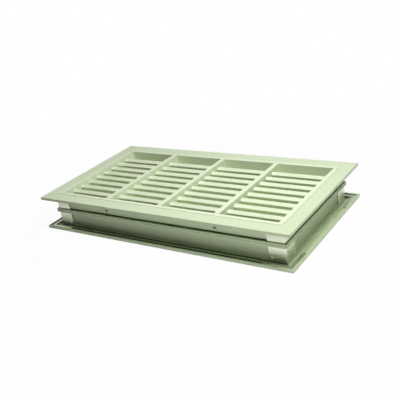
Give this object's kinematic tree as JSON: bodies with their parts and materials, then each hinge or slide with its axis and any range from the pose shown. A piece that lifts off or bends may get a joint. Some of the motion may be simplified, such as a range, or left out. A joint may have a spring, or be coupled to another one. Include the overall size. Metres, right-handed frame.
{
  "type": "fire-rated vent grille",
  "caption": "Air transfer grille for a door leaf: mitred cover frames that telescope round a core of leaning slats with heat-swelling filler.",
  "frame": {"origin": "middle of the counter frame's outer face, on which the grille lies", "axes": "+X along the long side, +Y from the front side to the rear side, across the slats, +Z from the counter frame to the slatted face"},
  "size_m": [0.4, 0.21, 0.0502],
  "materials": {
    "painted_aluminium": "satin pale green powder coat on extruded aluminium",
    "bare_aluminium": "mill finish, staked",
    "core_plastic": "satin extruded plastic",
    "swelling_filler": "dull graphite filler that swells in heat",
    "screw_steel": "zinc-plated"
  },
  "bodies": {
    "counter_half": {"counter_bar_front": "painted_aluminium", "counter_bar_right": "painted_aluminium", "counter_bar_rear": "painted_aluminium", "counter_bar_left": "painted_aluminium", "counter_bracket_front_left": "bare_aluminium", "counter_bracket_front_right": "bare_aluminium", "counter_bracket_rear_right": "bare_aluminium", "counter_bracket_rear_left": "bare_aluminium", "counter_cleat_front_left": "bare_aluminium", "counter_cleat_front_right": "bare_aluminium", "counter_cleat_rear_right": "bare_aluminium", "counter_cleat_rear_left": "bare_aluminium"},
    "face_half": {"face_bar_front": "painted_aluminium", "face_bar_right": "painted_aluminium", "face_bar_rear": "painted_aluminium", "face_bar_left": "painted_aluminium", "face_bracket_front_left": "bare_aluminium", "face_bracket_front_right": "bare_aluminium", "face_bracket_rear_right": "bare_aluminium", "face_bracket_rear_left": "bare_aluminium", "face_cleat_front_left": "bare_aluminium", "face_cleat_front_right": "bare_aluminium", "face_cleat_rear_right": "bare_aluminium", "face_cleat_rear_left": "bare_aluminium", "core_rail_front": "core_plastic", "core_rail_rear": "core_plastic", "rail_filler_front": "swelling_filler", "rail_filler_rear": "swelling_filler", "core_end_left": "core_plastic", "core_end_right": "core_plastic", "mullion_1": "core_plastic", "mullion_2": "core_plastic", "mullion_3": "core_plastic", "slat_sleeve_1": "core_plastic", "slat_sleeve_2": "core_plastic", "slat_sleeve_3": "core_plastic", "slat_sleeve_4": "core_plastic", "slat_sleeve_5": "core_plastic", "slat_sleeve_6": "core_plastic", "slat_sleeve_7": "core_plastic", "slat_sleeve_8": "core_plastic", "slat_strip_1": "swelling_filler", "slat_strip_2": "swelling_filler", "slat_strip_3": "swelling_filler", "slat_strip_4": "swelling_filler", "slat_strip_5": "swelling_filler", "slat_strip_6": "swelling_filler", "slat_strip_7": "swelling_filler", "slat_strip_8": "swelling_filler", "neck_screw_front_left": "screw_steel", "neck_screw_front_right": "screw_steel", "neck_screw_rear_left": "screw_steel", "neck_screw_rear_right": "screw_steel"}
  },
  "joints": [
    {"name": "leaf_thickness_slide", "type": "slide", "parent": "counter_half", "child": "face_half", "axis": [0, 0, 1], "range_m": [0, 0.0125]}
  ]
}
